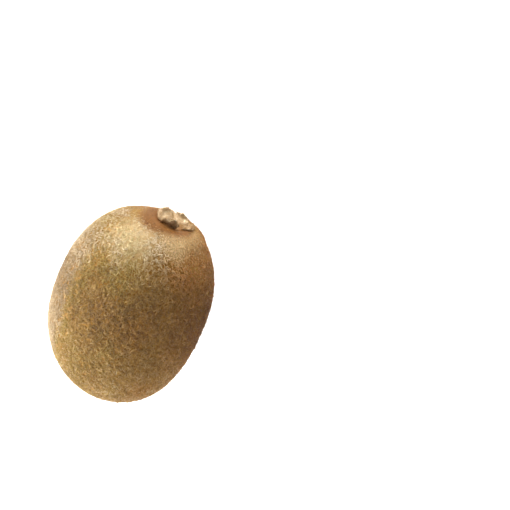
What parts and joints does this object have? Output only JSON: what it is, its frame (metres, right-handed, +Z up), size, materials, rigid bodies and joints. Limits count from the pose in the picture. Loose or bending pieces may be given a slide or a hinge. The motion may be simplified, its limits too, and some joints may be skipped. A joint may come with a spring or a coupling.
{
  "type": "kiwi fruit",
  "caption": "Whole fuzzy brown kiwi fruit lying on its flank, with its dried calyx and stalk scar at one end and dried styles at the other.",
  "frame": {"origin": "on the surface that the fruit rests on, under the middle of its box", "axes": "+X along the fruit towards its stem end, +Y across it, +Z up"},
  "size_m": [0.0686, 0.0492, 0.0462],
  "materials": {
    "skin": "thin brown skin under short tan down, matt",
    "sepal": "dried, papery, matt",
    "cork": "dry and corky, matt",
    "dried_style": "dried, matt"
  },
  "bodies": {
    "root": {"berry": "skin", "calyx": "sepal", "pedicel_scar": "cork", "style_tuft": "dried_style"}
  },
  "joints": []
}
